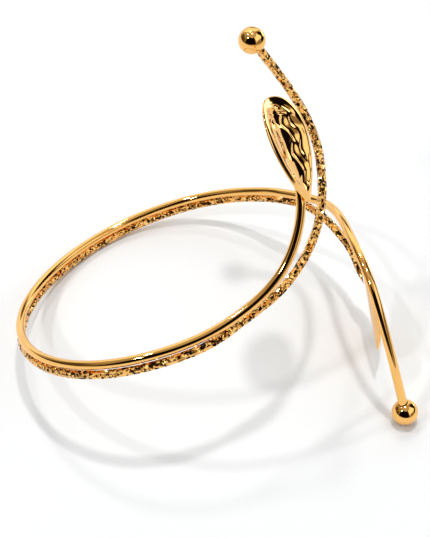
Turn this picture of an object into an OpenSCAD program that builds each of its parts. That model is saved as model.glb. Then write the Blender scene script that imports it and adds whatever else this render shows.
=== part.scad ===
// Open upper arm cuff of two round wires, one smooth and one cut with small facets, that lie
// side by side round the arm. At the opening the four ends part: two carry a polished ball and
// two a dished, hammered leaf. The cuff rests on a flat surface on the far edge of its hoop
// and on its lower ball, as it does when it is put down.

/* [Hoop] */
// Longest width of the hoop, between the middles of the wires
hoop_long = 84.4; // [70:0.2:100]
// Shortest width of the hoop, between the middles of the wires
hoop_short = 79.6; // [66:0.2:96]
// Where the longest width lies, in degrees from the middle of the opening
hoop_long_turn = 53.5; // [0:0.5:90]
// Degrees from the middle of the opening to where the four ends start
hoop_end_turn = 60; // [55:1:65]

/* [Wires] */
// Thickness of both wires
wire_d = 2.4; // [1.6:0.1:3]
// Space between the two wires where they lie side by side
wire_gap = 0.1; // [0.05:0.05:0.4]
// How far the faceted wire lies outwards of the smooth one, in degrees
wire_lean = 14; // [0:1:30]
// Depth of the facets cut in the faceted wire
facet_depth = 0.16; // [0.05:0.01:0.25]

/* [Balls] */
// Ball size
ball_d = 6.9; // [5:0.1:9]
// How deep a wire's end sits in its ball
ball_socket_depth = 2.4; // [1.5:0.1:2.8]
// Height of the upper ball's middle over the middle of the hoop
upper_ball_rise = 54.4; // [45:0.1:60]
// Depth of the lower ball's middle under the middle of the hoop
lower_ball_drop = 45.4; // [40:0.1:54]

/* [Leaves] */
// Length of a leaf from its point to its round tip
leaf_len = 26.8; // [22:0.2:31]
// Greatest width of a leaf
leaf_w = 17.6; // [13:0.2:21]
// Thickness of the leaf's plate at its rim
leaf_t = 1.3; // [0.9:0.1:1.8]
// How far the rim stands over the middle where the leaf is widest
leaf_dish = 1.6; // [0.5:0.1:3]
// How far the hammered face lies under the smooth rim
leaf_recess = 0.25; // [0.1:0.05:0.4]
// Depth of the deepest hammer mark
dent_depth = 0.35; // [0.1:0.05:0.5]
// Length of the slanted cut at a wire's end that a leaf is soldered on
leaf_seat_len = 8; // [5:0.5:11]
// Height of the smooth wire's end over the middle of the hoop
upper_leaf_rise = 29.4; // [26:0.2:34]
// Depth of the faceted wire's end under the middle of the hoop
lower_leaf_drop = 19.6; // [17:0.2:24]
// Turn of the upper leaf about its wire, in degrees
upper_leaf_roll = 2; // [-15:1:15]
// Turn of the lower leaf about its wire, in degrees
lower_leaf_roll = -4; // [-15:1:15]

/* [Resting place] */
// Where the hoop meets the surface, in degrees from the middle of the opening
rest_point_turn = 139.2; // [125:0.2:150]
// Where that point lies seen from above, in degrees from the right
rest_view_turn = 130.6; // [0:0.2:359]

/* [Hidden] */

// Solder seam between pieces that meet. It is wider under a leaf, where the wire still bends.
seam = 0.1;
leaf_seam = 0.2;
wire_r = wire_d / 2;
ball_r = ball_d / 2;
hoop_r = (hoop_long + hoop_short) / 4;
hoop_oval = (hoop_long - hoop_short) / 4;
wire_pitch = wire_d + wire_gap;
wire_rise = wire_pitch * cos(wire_lean) / 2;
wire_out = wire_pitch * sin(wire_lean) / 2;

// Degrees between the guide points round the hoop, and the steps between two guide points
guide_turn = 15;
smooth_steps = 4;
textured_steps = 9;
smooth_sides = 14;
textured_sides = 8;

// The bends of the four ends, from the hoop outwards. Columns: degrees round the arm from the
// middle of the opening, distance from the arm's middle as a share of hoop_r, height over the
// middle of the hoop as a share of that end's rise or drop.
upper_ball_bend = [
    [-46.3, 0.956, -0.002],
    [-33, 0.984, 0.01],
    [-19.3, 1.036, 0.062],
    [-5.2, 1.107, 0.154],
    [7.2, 1.151, 0.291],
    [18.7, 1.187, 0.454],
    [20.2, 1.119, 0.701],
    [16.9, 0.982, 1],
];
lower_ball_bend = [
    [-52.7, 1.029, -0.04],
    [-37.4, 1.173, 0.021],
    [-22.1, 1.178, -0.004],
    [-4.8, 1.217, 0.015],
    [7.4, 1.339, 0.155],
    [11.8, 1.376, 0.392],
    [13.9, 1.386, 0.719],
    [12.6, 1.35, 1],
];
upper_leaf_bend = [
    [-44.8, 1.033, 0.125],
    [-30.7, 1.131, 0.286],
    [-19.7, 1.197, 0.668],
    [-17.2, 1.188, 0.958],
    [-16.9, 1.187, 1],
];
lower_leaf_bend = [
    [-55.3, 1.074, 0.105],
    [-40.8, 1.14, 0.145],
    [-26.3, 1.206, 0.65],
    [-18, 1.191, 0.875],
    [-15, 1.195, 1],
];

// Hammer marks on a leaf. Columns: place along the leaf from its point, place across it from
// -1 to 1, size as a share of leaf_w, depth as a share of dent_depth.
dents = [
    [0.16, 0.1, 0.1, 0.7],
    [0.27, -0.35, 0.11, 0.8],
    [0.3, 0.4, 0.1, 0.7],
    [0.4, 0.05, 0.12, 1],
    [0.46, -0.55, 0.1, 0.7],
    [0.49, 0.55, 0.11, 0.9],
    [0.57, -0.15, 0.13, 0.9],
    [0.63, 0.3, 0.12, 1],
    [0.67, -0.55, 0.11, 0.8],
    [0.75, 0.02, 0.12, 0.9],
    [0.77, 0.55, 0.1, 0.8],
    [0.83, -0.35, 0.11, 0.9],
    [0.9, 0.15, 0.11, 0.7],
];

function unit(v) = v / norm(v);
function flat_radial(p) = unit([p.x, p.y, 0]);

// A point given by its turn round the arm, its distance from the arm's middle and its height
function round_arm(turn, r, h) = [r * cos(turn), r * sin(turn), h];
function bend_points(bend, rise) = [for (row = bend) round_arm(row[0], row[1] * hoop_r, row[2] * rise)];

// The lower ends are shaped as upper ends and turned over about the line through the opening.
function turned_over(points) = [for (p = points) [p.x, -p.y, -p.z]];
function reversed(list) = [for (i = [len(list) - 1:-1:0]) list[i]];

// Guide points of the hoop lie just outside it, because the bent wire runs inside its guides.
guide_out = 3 / (2 + cos(guide_turn));
function hoop_guides(out, h) = [
    for (turn = [hoop_end_turn:guide_turn:360 - hoop_end_turn])
        round_arm(turn, (hoop_r + hoop_oval * cos(2 * (turn - hoop_long_turn)) + out) * guide_out, h)
];

// One guide is added past each end, so that the wire runs straight into its ball or leaf.
function past_ends(g) = concat([2 * g[0] - g[1]], g, [2 * g[len(g) - 1] - g[len(g) - 2]]);
function wire_guides(lower, lower_rise, upper, upper_rise, out, h) = past_ends(concat(
    reversed(turned_over(bend_points(lower, lower_rise))),
    hoop_guides(out, h),
    bend_points(upper, upper_rise)
));

// A smooth bent line through a list of guide points: a uniform cubic spline
function spline_at(g, i, t) = (
    pow(1 - t, 3) * g[i]
    + (3 * pow(t, 3) - 6 * pow(t, 2) + 4) * g[i + 1]
    + (3 * t + 3 * pow(t, 2) - 3 * pow(t, 3) + 1) * g[i + 2]
    + pow(t, 3) * g[i + 3]
) / 6;
function spline(g, steps) = concat(
    [for (i = [0:len(g) - 4], k = [0:steps - 1]) spline_at(g, i, k / steps)],
    [spline_at(g, len(g) - 4, 1)]
);

smooth_guides = wire_guides(lower_ball_bend, lower_ball_drop, upper_leaf_bend, upper_leaf_rise,
    -wire_out, wire_rise);
textured_guides = wire_guides(lower_leaf_bend, lower_leaf_drop, upper_ball_bend, upper_ball_rise,
    wire_out, -wire_rise);

smooth_line = spline(smooth_guides, smooth_steps);
textured_line = spline(textured_guides, textured_steps);
lower_ball_at = smooth_line[0];
upper_ball_at = textured_line[len(textured_line) - 1];

// A wire stops inside its ball, a seam short of the bottom of the socket.
socket_floor = ball_r - ball_socket_depth;
least_step = 0.3;
function outside_ball(line, centre) = [
    for (p = line) if (norm(p - centre) > socket_floor + seam + least_step) p
];
function toward(from, to, distance) = from + unit(to - from) * distance;
smooth_outside = outside_ball(smooth_line, lower_ball_at);
textured_outside = outside_ball(textured_line, upper_ball_at);
smooth_path = concat(
    [toward(lower_ball_at, smooth_outside[0], socket_floor + seam)],
    smooth_outside
);
textured_path = concat(
    textured_outside,
    [toward(upper_ball_at, textured_outside[len(textured_outside) - 1], socket_floor + seam)]
);

// The direction of a line of points at point i, and the direction across it away from the arm
function along(path, i) = unit(path[min(i + 1, len(path) - 1)] - path[max(i - 1, 0)]);
function across(path, i) = let (a = along(path, i), r = flat_radial(path[i])) unit(r - (r * a) * a);

// The directions at a wire's end: along the wire, across its leaf, and toward the leaf
function end_axes(path_end, before_end, roll) = let (
    x = unit(path_end - before_end),
    r = flat_radial(path_end),
    z0 = unit(r - (r * x) * x),
    z = cos(roll) * z0 - sin(roll) * cross(z0, x)
) [x, cross(z, x), z];
upper_leaf_end = smooth_path[len(smooth_path) - 1];
upper_end_axes = end_axes(upper_leaf_end, smooth_path[len(smooth_path) - 2], upper_leaf_roll);
lower_leaf_end = turned_over([textured_path[0], textured_path[1]]);
lower_end_axes = end_axes(lower_leaf_end[0], lower_leaf_end[1], lower_leaf_roll);

// Under its leaf a wire is cut on a slant. It tapers to its tip, and its back stays straight.
seat_tip = 0.38;
seat_slope = atan(wire_d * (1 - seat_tip) / leaf_seat_len);
function taper(p, end) = (1 - seat_tip) * (1 - min(norm(p - end) / leaf_seat_len, 1));
function ring(path, i, r, sides, turn, end, face) = let (
    thinner = wire_r * taper(path[i], end),
    middle = path[i] - thinner * face,
    u = across(path, i),
    v = cross(along(path, i), u)
) [
    for (k = [0:sides - 1])
        let (a = k * 360 / sides + turn)
            middle + (r - thinner) * (cos(a) * u + sin(a) * v)
];

smooth_rings = [
    for (i = [0:len(smooth_path) - 1])
        ring(smooth_path, i, wire_r, smooth_sides, 0, upper_leaf_end, upper_end_axes[2])
];

// Each ring of the faceted wire is turned by half a side from the last, and every other one is
// a little slimmer, which makes the small diamond facets. They fade out under the leaf.
half_side = 180 / textured_sides;
function facet_at(i) = (i % 2) * facet_depth * (1 - taper(textured_path[i], textured_path[0]));
textured_rings = [
    for (i = [0:len(textured_path) - 1])
        ring(textured_path, i, wire_r - facet_at(i), textured_sides, i * half_side,
            textured_path[0], turned_over([lower_end_axes[2]])[0])
];

// A closed skin over rings of points that all have the same count
module skin(rings) {
    count = len(rings[0]);
    last = len(rings) - 1;
    sides = [
        for (i = [0:last - 1], k = [0:count - 1])
            let (a = i * count + k, b = i * count + (k + 1) % count)
                each [[a, a + count, b], [b, a + count, b + count]]
    ];
    caps = [
        [for (k = [0:count - 1]) k],
        [for (k = [count - 1:-1:0]) last * count + k],
    ];
    polyhedron([for (r = rings) each r], concat(sides, caps));
}

// The leaf lies in its own place with its point at the origin, its length along +X, the middle
// of its back on the X axis and its hammered face up. Its outline is pointed at the wire and
// round at the tip.
leaf_rows = 24;
face_cols = 14;
back_cols = 8;
point_power = 0.9;
round_power = 0.5;
widest = point_power / (point_power + round_power);
function outline(t) = pow(t, point_power) * pow(1 - t, round_power)
    / (pow(widest, point_power) * pow(1 - widest, round_power));

// Shares of the half width at which the rim starts on the inside and is full height
rim_inside = 0.74;
rim_full = 0.88;
// Shares of the length over which the hammered hollow fades in at the point and out at the tip
fade_in = 1 / 12;
fade_out = 1 / 16;
// How much of the plate's thickness is rounded off at the rim in front, and behind past rim_back
rim_round = 0.45;
rim_round_power = 12;
rim_back = 0.9;
rim_back_round = 0.35;
// The back stops a little inside the rim, and both ends stop a little short of a sharp point.
back_share = 0.985;
end_trim = 0.004;
function smoothstep(x) = let (c = min(max(x, 0), 1)) c * c * (3 - 2 * c);
function field(across_share) = 1 - smoothstep((abs(across_share) - rim_inside) / (rim_full - rim_inside));
function dent_sum(t, s) = dent_depth * max([
    for (d = dents)
        let (dx = (t - d[0]) * leaf_len, dy = (s * outline(t) - d[1] * outline(d[0])) * leaf_w / 2)
            d[3] * exp(-(dx * dx + dy * dy) / pow(d[2] * leaf_w, 2))
]);
function leaf_back(t, s) = leaf_dish * outline(t) * s * s;
function hollow(t, s) = field(s) * smoothstep(t / fade_in) * smoothstep((1 - t) / fade_out);
function leaf_face(t, s) = leaf_back(t, s)
    + leaf_t * (1 - rim_round * pow(abs(s), rim_round_power))
    - hollow(t, s) * (leaf_recess + dent_sum(t, s));
function leaf_rear(t, s) = leaf_back(t, s) + (abs(s) > rim_back ? rim_back_round * leaf_t : 0);

// Rows lie closer together toward both ends.
leaf_ts = [
    for (i = [0:leaf_rows]) end_trim + (1 - 2 * end_trim) * (1 - cos(180 * i / leaf_rows)) / 2
];
leaf_rings = [
    for (t = leaf_ts) let (half = outline(t) * leaf_w / 2) concat(
        [
            for (k = [0:face_cols]) let (s = 1 - 2 * k / face_cols)
                [t * leaf_len, s * half, leaf_face(t, s)]
        ],
        [
            for (k = [0:back_cols]) let (s = back_share * (2 * k / back_cols - 1))
                [t * leaf_len, s * half, leaf_rear(t, s)]
        ]
    )
];

// A leaf starts where the slanted cut starts, and lies along the cut.
function leaf_points(path_end, axes) = let (
    origin = path_end - leaf_seat_len * axes[0] + (wire_r + leaf_seam) * axes[2],
    x = cos(seat_slope) * axes[0] - sin(seat_slope) * axes[2],
    z = sin(seat_slope) * axes[0] + cos(seat_slope) * axes[2]
) [for (row = leaf_rings) [for (p = row) origin + p.x * x + p.y * axes[1] + p.z * z]];
upper_leaf_rings = leaf_points(upper_leaf_end, upper_end_axes);
lower_leaf_rings = [for (row = leaf_points(lower_leaf_end[0], lower_end_axes)) turned_over(row)];

// The hoop leans until its edge and the lower ball both touch the surface.
function leaned(p, lean) = let (
    a = p.x * cos(rest_point_turn) + p.y * sin(rest_point_turn),
    b = p.y * cos(rest_point_turn) - p.x * sin(rest_point_turn)
) [a * cos(lean) + p.z * sin(lean), b, p.z * cos(lean) - a * sin(lean)];
function turned(p) = [
    p.x * cos(rest_view_turn) - p.y * sin(rest_view_turn),
    p.x * sin(rest_view_turn) + p.y * cos(rest_view_turn),
    p.z
];
edge_points = [for (r = textured_rings) each r];
function ball_clearance(lean) = leaned(lower_ball_at, lean).z - ball_r
    - min([for (p = edge_points) leaned(p, lean).z]);
least_lean = 5;
most_lean = 50;
lean_tries = 20;
function find_lean(low, high, tries) = let (middle = (low + high) / 2)
    tries == 0 ? middle
    : ball_clearance(middle) < 0 ? find_lean(middle, high, tries - 1)
    : find_lean(low, middle, tries - 1);
rest_lean = find_lean(least_lean, most_lean, lean_tries);

// The origin is on the surface, under the middle of the whole cuff.
all_points = concat(
    edge_points,
    [for (r = smooth_rings) each r],
    [for (r = upper_leaf_rings) each r],
    [for (r = lower_leaf_rings) each r]
);
placed_points = [for (p = all_points) turned(leaned(p, rest_lean))];
placed_balls = [for (p = [lower_ball_at, upper_ball_at]) turned(leaned(p, rest_lean))];
function low_side(axis) = min(concat(
    [for (p = placed_points) p[axis]],
    [for (p = placed_balls) p[axis] - ball_r]
));
function high_side(axis) = max(concat(
    [for (p = placed_points) p[axis]],
    [for (p = placed_balls) p[axis] + ball_r]
));
rest_shift = [-(low_side(0) + high_side(0)) / 2, -(low_side(1) + high_side(1)) / 2, -low_side(2)];

module at_rest() {
    translate(rest_shift)
        rotate([0, 0, rest_view_turn])
            rotate([0, rest_lean, 0])
                rotate([0, 0, -rest_point_turn])
                    children();
}

// A polished ball with the socket that its wire is soldered into
module ball_on(centre, wire_point) {
    run = unit(wire_point - centre);
    translate(centre)
        rotate([0, acos(run.z), atan2(run.y, run.x)])
            difference() {
                sphere(d = ball_d, $fn = 48);
                translate([0, 0, socket_floor])
                    cylinder(r = wire_r + seam, h = ball_d, $fn = 32);
            }
}

module smooth_wire() {
    color("gold") at_rest() skin(smooth_rings);
}

module textured_wire() {
    color("goldenrod") at_rest() skin(textured_rings);
}

module upper_leaf() {
    color("khaki") at_rest() skin(upper_leaf_rings);
}

module lower_leaf() {
    color("khaki") at_rest() skin(lower_leaf_rings);
}

module upper_ball() {
    color("orange") at_rest() ball_on(upper_ball_at, textured_path[len(textured_path) - 1]);
}

module lower_ball() {
    color("orange") at_rest() ball_on(lower_ball_at, smooth_path[0]);
}

smooth_wire();
textured_wire();
upper_leaf();
lower_leaf();
upper_ball();
lower_ball();
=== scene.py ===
import math
import random

import bpy
from mathutils import Matrix, Vector


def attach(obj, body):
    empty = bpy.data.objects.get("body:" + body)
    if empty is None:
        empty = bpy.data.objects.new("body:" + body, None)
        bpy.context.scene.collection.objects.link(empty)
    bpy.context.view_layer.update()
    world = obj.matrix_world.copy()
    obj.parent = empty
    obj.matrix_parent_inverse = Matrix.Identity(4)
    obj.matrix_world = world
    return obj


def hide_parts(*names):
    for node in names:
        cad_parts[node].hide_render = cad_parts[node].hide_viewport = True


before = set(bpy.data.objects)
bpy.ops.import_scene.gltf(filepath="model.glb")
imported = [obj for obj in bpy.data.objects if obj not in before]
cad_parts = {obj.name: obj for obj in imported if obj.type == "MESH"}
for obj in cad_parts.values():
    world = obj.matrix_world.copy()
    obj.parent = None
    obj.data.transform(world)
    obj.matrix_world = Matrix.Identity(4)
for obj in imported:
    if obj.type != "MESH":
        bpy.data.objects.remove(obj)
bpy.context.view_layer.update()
bpy.ops.object.select_all(action="DESELECT")

# Smooth wire. One length of round, polished, gold plated brass wire: it runs from the lower ball
# up to the arm, once round it, and up again to the back of the upper leaf. The other wire is
# soldered along its underside, so both follow the same hoop.
MM = 0.001
WIRE_R = 1.2 * MM
WIRE_PITCH = 2.5 * MM
WIRE_LEAN = math.radians(14)
HOOP_LONG = 84.4 * MM
HOOP_SHORT = 79.6 * MM
HOOP_LONG_TURN = 53.5
HOOP_END_TURN = 60
HOOP_R = (HOOP_LONG + HOOP_SHORT) / 4
GUIDE_TURN = 15

# The cuff leans on its far edge and its lower ball, as it rests by itself.
REST_POINT_TURN = math.radians(139.2)
REST_VIEW_TURN = math.radians(130.6)
REST_LEAN = math.radians(27.75)
HOOP_MIDDLE = Vector((-12.31, 0.25, 20.92)) * MM
AT_REST = (
    Matrix.Translation(HOOP_MIDDLE)
    @ Matrix.Rotation(REST_VIEW_TURN, 4, "Z")
    @ Matrix.Rotation(REST_LEAN, 4, "Y")
    @ Matrix.Rotation(-REST_POINT_TURN, 4, "Z")
)

# Columns: degrees round the arm from the middle of the opening, distance from the arm's middle
# as a share of HOOP_R, height over the hoop as a share of that end's rise.
LOWER_BALL_DROP = 45.4 * MM
LOWER_BALL_BEND = [
    (-52.7, 1.029, -0.04),
    (-37.4, 1.173, 0.021),
    (-22.1, 1.178, -0.004),
    (-4.8, 1.217, 0.015),
    (7.4, 1.339, 0.155),
    (11.8, 1.376, 0.392),
    (13.9, 1.386, 0.719),
    (12.6, 1.35, 1),
]
UPPER_LEAF_RISE = 29.4 * MM
UPPER_LEAF_BEND = [
    (-44.8, 1.033, 0.125),
    (-30.7, 1.131, 0.286),
    (-19.7, 1.197, 0.668),
    (-17.2, 1.188, 0.958),
    (-16.9, 1.187, 1),
]


def round_arm(degrees, distance, height):
    """A point given by its turn round the arm, its distance from the middle and its height."""
    turn = math.radians(degrees)
    return Vector((distance * math.cos(turn), distance * math.sin(turn), height))


def bend_points(bend, rise):
    return [round_arm(turn, share * HOOP_R, height * rise) for turn, share, height in bend]


def turned_over(points):
    """The lower ends are bent as upper ends and turned over about the line through the opening."""
    return [Vector((p.x, -p.y, -p.z)) for p in points]


def hoop_guides(outwards, height):
    """Guide points round the arm. A cubic curve runs inside its guides, so they lie outside it."""
    oval = (HOOP_LONG - HOOP_SHORT) / 4
    guide_out = 3 / (2 + math.cos(math.radians(GUIDE_TURN)))
    points = []
    for turn in range(HOOP_END_TURN, 361 - HOOP_END_TURN, GUIDE_TURN):
        distance = HOOP_R + oval * math.cos(math.radians(2 * (turn - HOOP_LONG_TURN))) + outwards
        points.append(round_arm(turn, distance * guide_out, height))
    return points


def wire_guides(lower_end, hoop, upper_end):
    """All guide points of a wire at rest, and one more past each end to keep the ends straight."""
    guides = list(reversed(turned_over(lower_end))) + hoop + upper_end
    guides = [2 * guides[0] - guides[1]] + guides + [2 * guides[-1] - guides[-2]]
    return [AT_REST @ p for p in guides]


# Points of a wire that are nearer than this are one.
WELD = 0.0001 * MM


def bent_wire(name, guides, radius, steps, side_steps):
    """A round wire bent along its guides, as a mesh with a ring of points at each step."""
    bpy.ops.curve.primitive_nurbs_path_add(location=(0, 0, 0))
    wire = bpy.context.object
    wire.name = name
    line = wire.data.splines[0]
    line.points.add(len(guides) - len(line.points))
    for point, guide in zip(line.points, guides):
        point.co = (*guide, 1)
        point.radius = 1
    line.order_u = 4
    line.use_endpoint_u = False
    line.resolution_u = steps
    wire.data.twist_mode = "MINIMUM"
    wire.data.bevel_depth = radius
    wire.data.bevel_resolution = side_steps
    wire.data.use_fill_caps = True
    bpy.ops.object.convert(target="MESH")
    wire = bpy.context.object
    wire.name = name
    bpy.ops.object.mode_set(mode="EDIT")
    bpy.ops.mesh.select_all(action="SELECT")
    bpy.ops.mesh.remove_doubles(threshold=WELD)
    bpy.ops.mesh.normals_make_consistent(inside=False)
    bpy.ops.object.mode_set(mode="OBJECT")
    return wire


# A ball covers the last stretch of its wire, which stops at the bottom of the ball's socket.
BALL_R = 3.44 * MM
SOCKET_DEPTH = 2.4 * MM
SEAM = 0.1 * MM


def stop_in_socket(wire, ball_centre, toward_wire):
    """Cuts a wire off square inside its ball."""
    stop = ball_centre + toward_wire * (BALL_R - SOCKET_DEPTH + SEAM)
    bpy.ops.object.select_all(action="DESELECT")
    wire.select_set(True)
    bpy.context.view_layer.objects.active = wire
    bpy.ops.object.mode_set(mode="EDIT")
    bpy.ops.mesh.select_all(action="DESELECT")
    bpy.ops.object.mode_set(mode="OBJECT")
    for vertex in wire.data.vertices:
        vertex.select = (vertex.co - ball_centre).length < 3 * BALL_R
    bpy.ops.object.mode_set(mode="EDIT")
    bpy.ops.mesh.select_mode(type="VERT")
    bpy.ops.mesh.bisect(plane_co=stop, plane_no=toward_wire, use_fill=True, clear_inner=True)
    bpy.ops.object.mode_set(mode="OBJECT")


# Under its leaf a wire is cut on a slant: it tapers to its tip, and its back stays straight until
# the last stretch, which is filed down toward the leaf.
SEAT_LENGTH = 8 * MM
SEAT_TIP = 0.38
FILED_LENGTH = 5 * MM
FILED_SHARE = 0.85


def end_axes(guides_from_end, roll):
    """At a wire's leaf end: its last point, and the directions along it and toward the leaf."""
    end, before = guides_from_end
    along = (end - before).normalized()
    outwards = Vector((end.x, end.y, 0)).normalized()
    toward = (outwards - outwards.dot(along) * along).normalized()
    toward = math.cos(roll) * toward - math.sin(roll) * toward.cross(along)
    return end, along, toward


def cut_on_slant(wire, end, along, toward):
    """Tapers a wire's last stretch on the side of its leaf, and files its back at the very tip."""
    for vertex in wire.data.vertices:
        from_end = (end - vertex.co).dot(along)
        if from_end < SEAT_LENGTH and (vertex.co - end).length < 2 * SEAT_LENGTH:
            thinner = (1 - SEAT_TIP) * (1 - max(from_end, 0) / SEAT_LENGTH)
            on_axis = end - from_end * along
            vertex.co = on_axis + (vertex.co - on_axis) * (1 - thinner) - WIRE_R * thinner * toward
            below = WIRE_R * (1 - 2 * thinner) - (vertex.co - on_axis).dot(toward)
            filed = 1 - min(max(from_end, 0) / FILED_LENGTH, 1)
            vertex.co += below * FILED_SHARE * filed**2 * toward


class Signal:
    """One output of a material's nodes. Sums and products of signals add Math nodes."""

    def __init__(self, tree, socket=None):
        self.tree = tree
        self.socket = socket

    def node(self, kind, settings, inputs, output=0):
        """Adds a node of a kind: first its settings, then the values or links of its sockets."""
        made = self.tree.nodes.new(kind)
        for name, value in settings.items():
            setattr(made, name, value)
        for name, value in inputs.items():
            if isinstance(value, Signal):
                self.tree.links.new(value.socket, made.inputs[name])
            else:
                made.inputs[name].default_value = value
        return Signal(self.tree, made.outputs[output] if made.outputs else None)

    def maths(self, operation, first, second):
        return self.node("ShaderNodeMath", {"operation": operation}, {0: first, 1: second})

    def __add__(self, other):
        return self.maths("ADD", self, other)

    __radd__ = __add__

    def __mul__(self, other):
        return self.maths("MULTIPLY", self, other)

    __rmul__ = __mul__

    def __sub__(self, other):
        return self.maths("SUBTRACT", self, other)

    def __rsub__(self, other):
        return self.maths("SUBTRACT", other, self)


# Every piece has the same plating, a warm yellow gold, a little paler in places. Its gloss
# drifts in patches too, with fine hairlines over them.
GOLD = (0.95, 0.52, 0.14)
PALE_GOLD = (0.97, 0.56, 0.19)
PATCHES_PER_METRE = 260
HAIRLINES_PER_METRE = 5200
HAIRLINE_SHARE = 0.5
NOISE_MEAN = 0.5


def noise(start, place, per_metre, detail):
    """A smooth random value from 0 to 1 at every place."""
    return start.node(
        "ShaderNodeTexNoise", {}, {"Vector": place, "Scale": per_metre, "Detail": detail}
    )


def waves(start, place, height, size):
    """The faint waviness that polishing leaves, as a height in metres."""
    return height * noise(start, place, 1 / size, 1)


def plain_gold(start, place):
    """The plating's colour, in drifting paler patches."""
    patches = noise(start, place, PATCHES_PER_METRE, 3)
    tones = {"Factor": patches, 6: (*GOLD, 1), 7: (*PALE_GOLD, 1)}
    return start.node("ShaderNodeMix", {"data_type": "RGBA"}, tones, 2)


def gold_finish(name, colour, roughness, roughness_change, relief, height, size):
    """Polished gold: roughness in drifting patches, and a fine relief of that height and size."""
    finish = bpy.data.materials.new(name)
    finish.use_nodes = True
    finish.node_tree.nodes.clear()
    start = Signal(finish.node_tree)
    place = start.node("ShaderNodeTexCoord", {}, {}, "Object")
    patches = noise(start, place, PATCHES_PER_METRE, 3)
    hairlines = noise(start, place, HAIRLINES_PER_METRE, 2)
    drift = patches + HAIRLINE_SHARE * hairlines - NOISE_MEAN * (1 + HAIRLINE_SHARE)
    uneven = roughness + roughness_change * drift
    raised = relief(start, place, height, size)
    bump = start.node("ShaderNodeBump", {}, {"Height": raised, "Strength": 1, "Distance": 1})
    metal = start.node(
        "ShaderNodeBsdfPrincipled",
        {},
        {
            "Base Color": colour(start, place),
            "Metallic": 1.0,
            "Roughness": uneven,
            "Normal": bump,
        },
    )
    start.node("ShaderNodeOutputMaterial", {}, {"Surface": metal})
    return finish


def finish_piece(piece, finish, node):
    """Gives a finished piece its material, and has it stand for its CAD node."""
    piece.data.materials.clear()
    piece.data.materials.append(finish)
    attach(piece, "root")
    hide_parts(node)


# Polishing takes a little off the wire.
POLISHED_WIRE_R = 1.18 * MM
SMOOTH_STEPS = 16
SMOOTH_SIDE_STEPS = 14
WIRE_EDGE_ANGLE = math.radians(40)
wire_rise = WIRE_PITCH * math.cos(WIRE_LEAN) / 2
wire_out = WIRE_PITCH * math.sin(WIRE_LEAN) / 2
upper_bend = bend_points(UPPER_LEAF_BEND, UPPER_LEAF_RISE)
smooth_guides = wire_guides(
    bend_points(LOWER_BALL_BEND, LOWER_BALL_DROP),
    hoop_guides(-wire_out, wire_rise),
    upper_bend,
)
lower_ball_centre = smooth_guides[1]
lower_ball_way = (smooth_guides[2] - smooth_guides[1]).normalized()

UPPER_LEAF_ROLL = math.radians(2)
upper_end = end_axes((upper_bend[-1], upper_bend[-2]), UPPER_LEAF_ROLL)
upper_end = [AT_REST @ upper_end[0]] + [AT_REST.to_3x3() @ way for way in upper_end[1:]]

smooth_wire = bent_wire(
    "polished_wire", smooth_guides, POLISHED_WIRE_R, SMOOTH_STEPS, SMOOTH_SIDE_STEPS
)
stop_in_socket(smooth_wire, lower_ball_centre, lower_ball_way)
cut_on_slant(smooth_wire, *upper_end)
bpy.ops.object.shade_smooth_by_angle(angle=WIRE_EDGE_ANGLE)
polished_gold = gold_finish("polished_gold", plain_gold, 0.06, 0.04, waves, 0.006 * MM, 2.5 * MM)
finish_piece(smooth_wire, polished_gold, "smooth_wire")

# Faceted wire. The same round wire, cut all over with small bright facets, and soldered under the
# smooth one round the arm. It runs from the lower leaf to the upper ball, and the cuts stop
# where the leaf is soldered on.
LOWER_LEAF_DROP = 19.6 * MM
LOWER_LEAF_BEND = [
    (-55.3, 1.074, 0.105),
    (-40.8, 1.14, 0.145),
    (-26.3, 1.206, 0.65),
    (-18, 1.191, 0.875),
    (-15, 1.195, 1),
]
UPPER_BALL_RISE = 54.4 * MM
UPPER_BALL_BEND = [
    (-46.3, 0.956, -0.002),
    (-33, 0.984, 0.01),
    (-19.3, 1.036, 0.062),
    (-5.2, 1.107, 0.154),
    (7.2, 1.151, 0.291),
    (18.7, 1.187, 0.454),
    (20.2, 1.119, 0.701),
    (16.9, 0.982, 1),
]
# The cuts take a little more off this wire. Its mesh has facets, and its finish adds more cuts.
CUT_WIRE_R = 1.16 * MM
CUT_STEPS = 10
CUT_SIDE_STEPS = 2
CUT_DEPTH = 0.06 * MM
CUT_UNEVEN = 0.08 * MM
CUT_SEED = 4
CUT_SIZE = 0.9 * MM
CUT_TILT = 1.2
# Painted shade: a share of the cuts, in cells of their own size, is coloured near black. It stands
# in for the dark that deep, narrow cuts mirror, and the real wire is one colour all over.
PAINTED_SHADE_CUT_SIZE = 0.65 * MM
PAINTED_SHADE_CUT_SHARE = 0.2
PAINTED_SHADE_GOLD = (0.07, 0.03, 0.004)
LOWER_LEAF_ROLL = math.radians(-4)

lower_bend = bend_points(LOWER_LEAF_BEND, LOWER_LEAF_DROP)
cut_guides = wire_guides(
    lower_bend,
    hoop_guides(wire_out, -wire_rise),
    bend_points(UPPER_BALL_BEND, UPPER_BALL_RISE),
)
upper_ball_centre = cut_guides[-2]
upper_ball_way = (cut_guides[-3] - cut_guides[-2]).normalized()
lower_end = end_axes((lower_bend[-1], lower_bend[-2]), LOWER_LEAF_ROLL)
lower_end = [AT_REST @ turned_over(lower_end[:1])[0]] + [
    AT_REST.to_3x3() @ way for way in turned_over(lower_end[1:])
]


def cut_facets(wire, uncut_end):
    """Sinks the middle of each small face and jogs every point, so that no two facets agree."""
    bpy.ops.object.select_all(action="DESELECT")
    wire.select_set(True)
    bpy.context.view_layer.objects.active = wire
    bpy.ops.object.mode_set(mode="EDIT")
    bpy.ops.mesh.select_all(action="SELECT")
    bpy.ops.mesh.poke(offset=-CUT_DEPTH)
    bpy.ops.object.mode_set(mode="OBJECT")
    jog = random.Random(CUT_SEED)
    for vertex in wire.data.vertices:
        if (vertex.co - uncut_end).length > SEAT_LENGTH:
            push = Vector([jog.uniform(-1, 1) for _ in range(3)]) * CUT_UNEVEN
            vertex.co += push - max(push.dot(vertex.normal), 0) * vertex.normal


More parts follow.
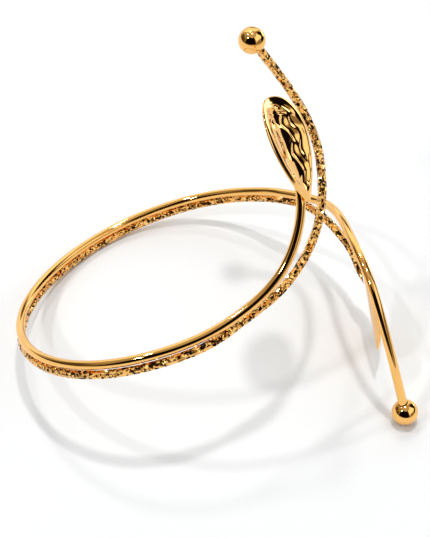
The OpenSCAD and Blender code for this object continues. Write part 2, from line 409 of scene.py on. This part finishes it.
def cuts(start, place, tilt, size):
    """Small flat cuts beside each other, each tilted its own way, as a height in metres."""
    cells = {"Vector": place, "Scale": 1 / size}
    middle = start.node("ShaderNodeTexVoronoi", {}, cells, "Position")
    way = start.node("ShaderNodeTexVoronoi", {}, cells, "Color")
    minus = {"operation": "SUBTRACT"}
    from_middle = start.node("ShaderNodeVectorMath", minus, {0: place, 1: middle})
    lean = start.node("ShaderNodeVectorMath", minus, {0: way, 1: (0.5, 0.5, 0.5)})
    dot = {"operation": "DOT_PRODUCT"}
    return tilt * start.node("ShaderNodeVectorMath", dot, {0: from_middle, 1: lean}, "Value")


def gold_with_painted_shade(start, place):
    """The plating's colour, with painted shade in some cuts: a near black colour stands in for what
    deep, narrow ones mirror.
    """
    cells = {"Vector": place, "Scale": 1 / PAINTED_SHADE_CUT_SIZE}
    chance = start.node("ShaderNodeTexVoronoi", {}, cells, "Color")
    chance = start.node("ShaderNodeSeparateXYZ", {}, {0: chance}, "X")
    painted_shade = chance.maths("LESS_THAN", chance, PAINTED_SHADE_CUT_SHARE)
    tones = {"Factor": painted_shade, 6: plain_gold(start, place), 7: (*PAINTED_SHADE_GOLD, 1)}
    return start.node("ShaderNodeMix", {"data_type": "RGBA"}, tones, 2)


cut_wire = bent_wire("faceted_wire", cut_guides, CUT_WIRE_R, CUT_STEPS, CUT_SIDE_STEPS)
cut_facets(cut_wire, lower_end[0])
stop_in_socket(cut_wire, upper_ball_centre, upper_ball_way)
cut_on_slant(cut_wire, *lower_end)
bpy.ops.object.shade_flat()
# Its colour has painted shade in a share of the cuts.
bright_cut_gold = gold_finish("bright_cut_gold", gold_with_painted_shade, 0.08, 0.04, cuts, CUT_TILT, CUT_SIZE)
finish_piece(cut_wire, bright_cut_gold, "textured_wire")

# Leaves. Each is a thick drop-shaped plate, dished, with a smooth rim and a hammered hollow. Its
# back is smooth. It is soldered by its point on the slanted cut at a wire's end, one upright
# over the opening and one hanging below it.
LEAF_LENGTH = 26.8 * MM
LEAF_WIDTH = 17.6 * MM
LEAF_PLATE = 1.3 * MM
LEAF_DISH = 1.6 * MM
DISH_EASE = 0.2
LEAF_SEAM = 0.2 * MM
POINT_POWER = 0.9
ROUND_POWER = 0.5
LEAF_GRID = 150
SLOPE_STEP = 0.002
LEAF_EDGE_ANGLE = math.radians(50)
# The hammered hollow. The three shares are of the way out from the leaf's middle to its rim.
LEAF_RECESS = 0.18 * MM
RIM_INSIDE = 0.72
RIM_FULL = 0.84
MARKS_END = 0.94
MARK_SHARPNESS = 14
MARK_DRIFT = 0.55 * MM
MARK_DRIFT_STEP = 1.1 * MM
# The plate thins toward its edge, which bulges out in a half round.
RIM_FALL = 0.45
RIM_LIFT = 0.1
RIM_FALL_POWER = 9
RIM_BULGE = 0.55 * MM
RIM_STEPS = 7
# Hammer marks. Columns: place along the leaf and across it, as shares, half length, half width
# and depth, in mm, and turn in degrees.
HAMMER_MARKS = [
    (0.58, 0.14, 5.2, 2.9, 0.36, -6),
    (0.40, 0.52, 2.2, 2.2, 0.16, -16),
    (0.27, 0.30, 4.0, 2.2, 0.12, -6),
    (0.77, 0.56, 2.2, 1.8, 0.25, 20),
    (0.87, 0.30, 2.6, 1.1, 0.36, 60),
    (0.79, 0.12, 3.2, 1.1, 0.42, 50),
    (0.92, -0.10, 3.2, 0.9, 0.38, 58),
    (0.84, -0.20, 2.2, 0.9, 0.42, 50),
    (0.73, -0.22, 2.6, 1.2, 0.42, 44),
    (0.86, -0.60, 2.8, 1.1, 0.36, 40),
    (0.60, -0.36, 3.4, 1.5, 0.38, 6),
    (0.68, -0.66, 3.2, 1.3, 0.34, 22),
    (0.47, -0.22, 2.4, 1.5, 0.33, 14),
    (0.48, -0.68, 3.4, 1.5, 0.34, -4),
    (0.34, -0.34, 3.2, 1.4, 0.30, 8),
    (0.31, -0.76, 2.6, 1.3, 0.29, 0),
    (0.20, -0.10, 1.8, 1.0, 0.22, 0),
    (0.19, -0.60, 2.4, 1.0, 0.26, 0),
    (0.58, -0.92, 2.6, 1.0, 0.24, 4),
    (0.66, 0.84, 1.8, 0.5, 0.18, -12),
    (0.30, 0.84, 0.6, 0.5, 0.20, 0),
    (0.29, 0.66, 0.5, 0.4, 0.22, 0),
    (0.33, 0.75, 0.45, 0.35, 0.20, 0),
    (0.58, 0.42, 0.5, 0.35, 0.42, 0),
    (0.62, 0.30, 0.35, 0.3, 0.44, 0),
]


def outline(share):
    """Half the leaf's width, as a share of its greatest, at a share of its length."""
    widest = POINT_POWER / (POINT_POWER + ROUND_POWER)
    greatest = widest**POINT_POWER * (1 - widest) ** ROUND_POWER
    return share**POINT_POWER * (1 - share) ** ROUND_POWER / greatest


def dish(share):
    """How high the leaf's edge curls up, in metres. It eases to nothing at both ends."""
    eased_width = math.hypot(outline(share), DISH_EASE) - DISH_EASE
    return LEAF_DISH * eased_width / (math.hypot(1, DISH_EASE) - DISH_EASE)


def eased(value):
    clipped = min(max(value, 0), 1)
    return clipped * clipped * (3 - 2 * clipped)


def hammered(x, y):
    """How deep the hammer went at a place on the leaf, in metres. The marks drift a little."""
    x, y = (
        x + MARK_DRIFT * math.sin(y / MARK_DRIFT_STEP + 1) * math.cos(x / MARK_DRIFT_STEP),
        y + MARK_DRIFT * math.sin(x / MARK_DRIFT_STEP),
    )
    together = 1
    for along, across, length, width, depth, turn in HAMMER_MARKS:
        from_x = x - along * LEAF_LENGTH
        from_y = y - across * outline(along) * LEAF_WIDTH / 2
        c, s = math.cos(math.radians(turn)), math.sin(math.radians(turn))
        u = (from_x * c + from_y * s) / (length * MM)
        v = (from_y * c - from_x * s) / (width * MM)
        together += math.exp(MARK_SHARPNESS * max(depth * (1 - u * u - v * v), -1))
    return math.log(together) / MARK_SHARPNESS * MM


def leaf_place(u, v):
    """Where a point of a square sheet, from -1 to 1 each way, lies on the leaf.

    Gives its place along the leaf and across it, then how far it is to the side and out toward
    the rim, as shares.
    """
    x = u * math.sqrt(1 - v * v / 2)
    y = v * math.sqrt(1 - u * u / 2)
    share = min(max((1 + x) / 2, 0), 1)
    round_here = math.sqrt(max(1 - x * x, 1e-9))
    across = max(-1, min(1, y / round_here))
    length = RIM_BULGE + share * (LEAF_LENGTH - 2 * RIM_BULGE)
    return length, across * outline(share) * (LEAF_WIDTH / 2 - RIM_BULGE), across, math.hypot(x, y)


def leaf_share(x):
    """The share of the sheet's length that a place along it comes to."""
    return min(max((x - RIM_BULGE) / (LEAF_LENGTH - 2 * RIM_BULGE), 0), 1)


def leaf_side(front):
    """The front or the back of a leaf: a sheet shaped to its outline, dished, hammered in front."""
    bpy.ops.mesh.primitive_grid_add(x_subdivisions=LEAF_GRID, y_subdivisions=LEAF_GRID, size=2)
    side = bpy.context.object
    for vertex in side.data.vertices:
        x, y, across, rim = leaf_place(vertex.co.x, vertex.co.y)
        z = dish(leaf_share(x)) * across**2
        if front:
            hollow = 1 - eased((rim - RIM_INSIDE) / (RIM_FULL - RIM_INSIDE))
            z += LEAF_PLATE * (1 - RIM_FALL * rim**RIM_FALL_POWER)
            z -= hollow * LEAF_RECESS
            z -= (1 - eased((rim - RIM_FULL) / (MARKS_END - RIM_FULL))) * hammered(x, y)
        else:
            z += LEAF_PLATE * RIM_LIFT * rim**RIM_FALL_POWER
        vertex.co = (x, y, z)
    return side


def outwards(share, side):
    """The direction out of the leaf's edge, at a share of its length and on one side of it."""
    before = max(share - SLOPE_STEP, 0)
    after = min(share + SLOPE_STEP, 1)
    run = (after - before) * (LEAF_LENGTH - 2 * RIM_BULGE)
    rise = (outline(after) - outline(before)) * (LEAF_WIDTH / 2 - RIM_BULGE)
    return Vector((-rise, side * run, 0)).normalized()


def round_rim(leaf, sheet_points):
    """Pushes the rows of points between the two sheets outwards into a half round."""
    for vertex in leaf.data.vertices[sheet_points:]:
        share = leaf_share(vertex.co.x)
        low = dish(share) + LEAF_PLATE * RIM_LIFT
        high = dish(share) + LEAF_PLATE * (1 - RIM_FALL)
        turn = ((vertex.co.z - low) / (high - low) - 0.5) * math.pi
        vertex.co += outwards(share, math.copysign(1, vertex.co.y)) * RIM_BULGE * math.cos(turn)
        vertex.co.z = (low + high + (high - low) * math.sin(turn)) / 2


def make_leaf(name, end, along, toward):
    """A leaf in its place: its front and back joined round the rim, which is then rounded."""
    front = leaf_side(True)
    back = leaf_side(False)
    bpy.ops.object.select_all(action="DESELECT")
    front.select_set(True)
    back.select_set(True)
    bpy.context.view_layer.objects.active = front
    bpy.ops.object.join()
    leaf = bpy.context.object
    leaf.name = name
    sheet_points = len(leaf.data.vertices)
    bpy.ops.object.mode_set(mode="EDIT")
    bpy.ops.mesh.select_mode(type="EDGE")
    bpy.ops.mesh.select_all(action="DESELECT")
    bpy.ops.mesh.select_non_manifold()
    bpy.ops.mesh.bridge_edge_loops(number_cuts=RIM_STEPS, interpolation="LINEAR")
    bpy.ops.mesh.select_all(action="SELECT")
    bpy.ops.mesh.normals_make_consistent(inside=False)
    bpy.ops.object.mode_set(mode="OBJECT")
    round_rim(leaf, sheet_points)
    slope = math.atan(2 * WIRE_R * (1 - SEAT_TIP) / SEAT_LENGTH)
    x_axis = math.cos(slope) * along - math.sin(slope) * toward
    z_axis = math.sin(slope) * along + math.cos(slope) * toward
    origin = end - SEAT_LENGTH * along + (WIRE_R + LEAF_SEAM) * toward
    axes = Matrix((x_axis, z_axis.cross(x_axis), z_axis)).transposed().to_4x4()
    leaf.data.transform(Matrix.Translation(origin) @ axes)
    bpy.ops.object.shade_smooth_by_angle(angle=LEAF_EDGE_ANGLE)
    return leaf


hammered_gold = gold_finish("hammered_gold", plain_gold, 0.04, 0.04, waves, 0.012 * MM, 1.6 * MM)
for name, node, place in (
    ("raised_leaf", "upper_leaf", upper_end),
    ("hanging_leaf", "lower_leaf", lower_end),
):
    finish_piece(make_leaf(name, *place), hammered_gold, node)

# Balls. Two solid, mirror polished balls, each drilled part way and soldered on the end of a wire.
# The upper one tops the faceted wire, and the lower one is a foot that the cuff rests on.
BALL_RINGS = 64
BALL_SEGMENTS = 96
BALL_EDGE_ANGLE = math.radians(50)
MOUTH_RINGS = 8
MOUTH_MARGIN = 0.01 * MM


def make_ball(name, centre, toward_wire):
    """A ball whose pole is opened to a round socket that faces its wire."""
    bpy.ops.mesh.primitive_uv_sphere_add(
        segments=BALL_SEGMENTS, ring_count=BALL_RINGS, radius=BALL_R
    )
    ball = bpy.context.object
    ball.name = name
    mouth_z = BALL_R * math.cos(math.pi * MOUTH_RINGS / BALL_RINGS)
    bpy.ops.object.mode_set(mode="EDIT")
    bpy.ops.mesh.select_mode(type="VERT")
    bpy.ops.mesh.select_all(action="DESELECT")
    bpy.ops.object.mode_set(mode="OBJECT")
    for vertex in ball.data.vertices:
        vertex.select = vertex.co.z > mouth_z + MOUTH_MARGIN
    bpy.ops.object.mode_set(mode="EDIT")
    bpy.ops.mesh.delete(type="VERT")
    bpy.ops.mesh.select_non_manifold()
    down = BALL_R - SOCKET_DEPTH - mouth_z
    bpy.ops.mesh.extrude_region_move(TRANSFORM_OT_translate={"value": (0, 0, down)})
    bpy.ops.mesh.edge_face_add()
    bpy.ops.object.mode_set(mode="OBJECT")
    turn = toward_wire.to_track_quat("Z", "Y").to_matrix().to_4x4()
    ball.data.transform(Matrix.Translation(centre) @ turn)
    bpy.ops.object.shade_smooth_by_angle(angle=BALL_EDGE_ANGLE)
    return ball


mirror_gold = gold_finish("mirror_gold", plain_gold, 0.03, 0.03, waves, 0.003 * MM, 3 * MM)
for name, node, centre, way in (
    ("top_ball", "upper_ball", upper_ball_centre, upper_ball_way),
    ("foot_ball", "lower_ball", lower_ball_centre, lower_ball_way),
):
    finish_piece(make_ball(name, centre, way), mirror_gold, node)

# Studio. A plain white floor, four small lamps that throw soft shadows, and a dim room with pale
# cards and dark gaps in it, which the polished gold mirrors.
# The floor ends not far to the right, so that the gold mirrors a dark gap past its edge.
FLOOR_SIZE = 8
FLOOR_RIGHT_EDGE = 0.42
PAPER = (0.96, 0.96, 0.96)
floor_middle = (FLOOR_RIGHT_EDGE - FLOOR_SIZE / 2, 0, 0)
bpy.ops.mesh.primitive_plane_add(size=FLOOR_SIZE, location=floor_middle)
bpy.ops.object.transform_apply(location=True)
floor = bpy.context.object
floor.name = "floor"
paper = bpy.data.materials.new("white_paper")
paper.use_nodes = True
paper.node_tree.nodes.clear()
sheet = Signal(paper.node_tree)
white = sheet.node("ShaderNodeBsdfDiffuse", {}, {"Color": (*PAPER, 1)})
sheet.node("ShaderNodeOutputMaterial", {}, {"Surface": white})
floor.data.materials.append(paper)


def add_lamp(name, turn, height, distance, size, watts):
    """A round lamp that faces the cuff, placed by its turn and height in degrees."""
    across = distance * math.cos(math.radians(height))
    spot = Vector((across * math.cos(math.radians(turn)), across * math.sin(math.radians(turn)), 0))
    spot.z = distance * math.sin(math.radians(height))
    bpy.ops.object.light_add(type="AREA", location=spot)
    lamp = bpy.context.object
    lamp.name = name
    lamp.data.shape = "DISK"
    lamp.data.size = size
    lamp.data.energy = watts
    lamp.rotation_euler = (-spot).to_track_quat("-Z", "Y").to_euler()


add_lamp("top_lamp", 68, 82, 0.9, 0.055, 1.85)
add_lamp("left_lamp", 162, 58, 2.5, 0.13, 7)
add_lamp("front_lamp", -148, 51, 2.5, 0.2, 8)
add_lamp("back_lamp", 108, 60, 2.5, 0.25, 6)

room = bpy.data.worlds.new("dim_room")
bpy.context.scene.world = room
room.use_nodes = True
room.node_tree.nodes.clear()
sky = Signal(room.node_tree)
way = sky.node("ShaderNodeTexCoord", {}, {}, "Generated")
way_x, way_y, way_z = [sky.node("ShaderNodeSeparateXYZ", {}, {0: way}, axis) for axis in "XYZ"]
way_turn = sky.maths("ARCTAN2", way_y, way_x) * math.degrees(1)
way_height = sky.node("ShaderNodeMath", {"operation": "ARCSINE"}, {0: way_z}) * math.degrees(1)


def step_up(value, place, softness):
    """Rises from 0 to 1 as a value passes a place."""
    return sky.node(
        "ShaderNodeMapRange",
        {"interpolation_type": "SMOOTHSTEP"},
        {"Value": value, "From Min": place - softness, "From Max": place + softness},
    )


def card(turns, heights, softness):
    """A card that covers a range of turns and heights, in degrees: 1 on it and 0 beside it."""
    middle = (turns[0] + turns[1]) / 2
    half = (turns[1] - turns[0]) / 2
    from_middle = sky.node(
        "ShaderNodeMath", {"operation": "WRAP"}, {0: way_turn - middle, 1: 180, 2: -180}
    )
    off_middle = sky.node("ShaderNodeMath", {"operation": "ABSOLUTE"}, {0: from_middle})
    within = 1 - step_up(off_middle, half, softness)
    return within * step_up(way_height, heights[0], softness) * (
        1 - step_up(way_height, heights[1], softness)
    )


def lit(level, brightness, cover):
    """Covers what is behind a card with its brightness."""
    return level + cover * (brightness - level)


# Cards and gaps, from back to front. Columns: turn from, to, height from, to, softness, brightness.
ROOM = [
    (-180, 180, 60, 80, 5, 0.55),
    (134, 165, 5, 62, 8, 0.5),
    (-150, -58, 3, 60, 4, 0.004),
    (148, 205, -2, 30, 5, 0.1),
    (-52, 20, 18, 58, 4, 1.3),
    (-46, -14, -2, 24, 5, 0.3),
    (16, 46, -90, 46, 4, 0.006),
    (-8, 30, -90, 14, 4, 0.006),
    (54, 132, -4, 6, 3, 1.3),
    (56, 134, 12, 56, 6, 1.3),
    (74, 98, 6, 19, 4, 0.1),
    (34, 56, -14, 5, 2, 3.5),
]
# Behind them all, the walls, and overhead a ceiling that is brighter.
WALL_LIGHT = 0.4
CEILING_EXTRA = 0.45
CEILING_FROM = 82
CEILING_SOFTNESS = 4
light = WALL_LIGHT + CEILING_EXTRA * step_up(way_height, CEILING_FROM, CEILING_SOFTNESS)
for turn_from, turn_to, height_from, height_to, softness, brightness in ROOM:
    cover = card((turn_from, turn_to), (height_from, height_to), softness)
    light = lit(light, brightness, cover)

# The dimmer parts of the room are warm, which shows only in what the gold mirrors.
WARM_BELOW = 0.85
DAYLIGHT = (0.965, 1, 1.01)
WARM_LIGHT = (1, 0.75, 0.35)
mirrored = sky.node("ShaderNodeLightPath", {}, {}, "Is Glossy Ray")
warmth = mirrored * (1 - sky.maths("MINIMUM", light * (1 / WARM_BELOW), 1))
tones = {"Factor": warmth, 6: (*DAYLIGHT, 1), 7: (*WARM_LIGHT, 1)}
tint = sky.node("ShaderNodeMix", {"data_type": "RGBA"}, tones, 2)
# The camera sees a bare white behind the floor, and not the room.
camera_ray = sky.node("ShaderNodeLightPath", {}, {}, "Is Camera Ray")
light = light * (1 - camera_ray) + camera_ray
glow = sky.node("ShaderNodeBackground", {}, {"Color": tint, "Strength": light})
sky.node("ShaderNodeOutputWorld", {}, {"Surface": glow})

# Camera. It looks down at the cuff from the front, as the photograph does.
PICTURE_HEIGHT = 537
FOCAL_PIXELS = 1424
CAMERA_PLACE = Vector((0.6, -240.0, 312.0)) * MM
LOOK_DOWN = 50.18
LOOK_LEFT = 0.11
LEAN_OVER = -0.28
bpy.ops.object.camera_add(location=CAMERA_PLACE)
camera = bpy.context.object
tilt = Matrix.Rotation(math.radians(90 - LOOK_DOWN), 4, "X")
turn = Matrix.Rotation(math.radians(LOOK_LEFT), 4, "Z")
roll = Matrix.Rotation(math.radians(LEAN_OVER), 4, "Z")
camera.rotation_euler = (turn @ tilt @ roll).to_euler()
camera.data.sensor_width = 36
camera.data.lens = FOCAL_PIXELS * camera.data.sensor_width / PICTURE_HEIGHT
camera.data.clip_start = 0.01
bpy.context.scene.camera = camera
bpy.context.scene.view_settings.view_transform = "Standard"
bpy.context.scene.cycles.use_denoising = True
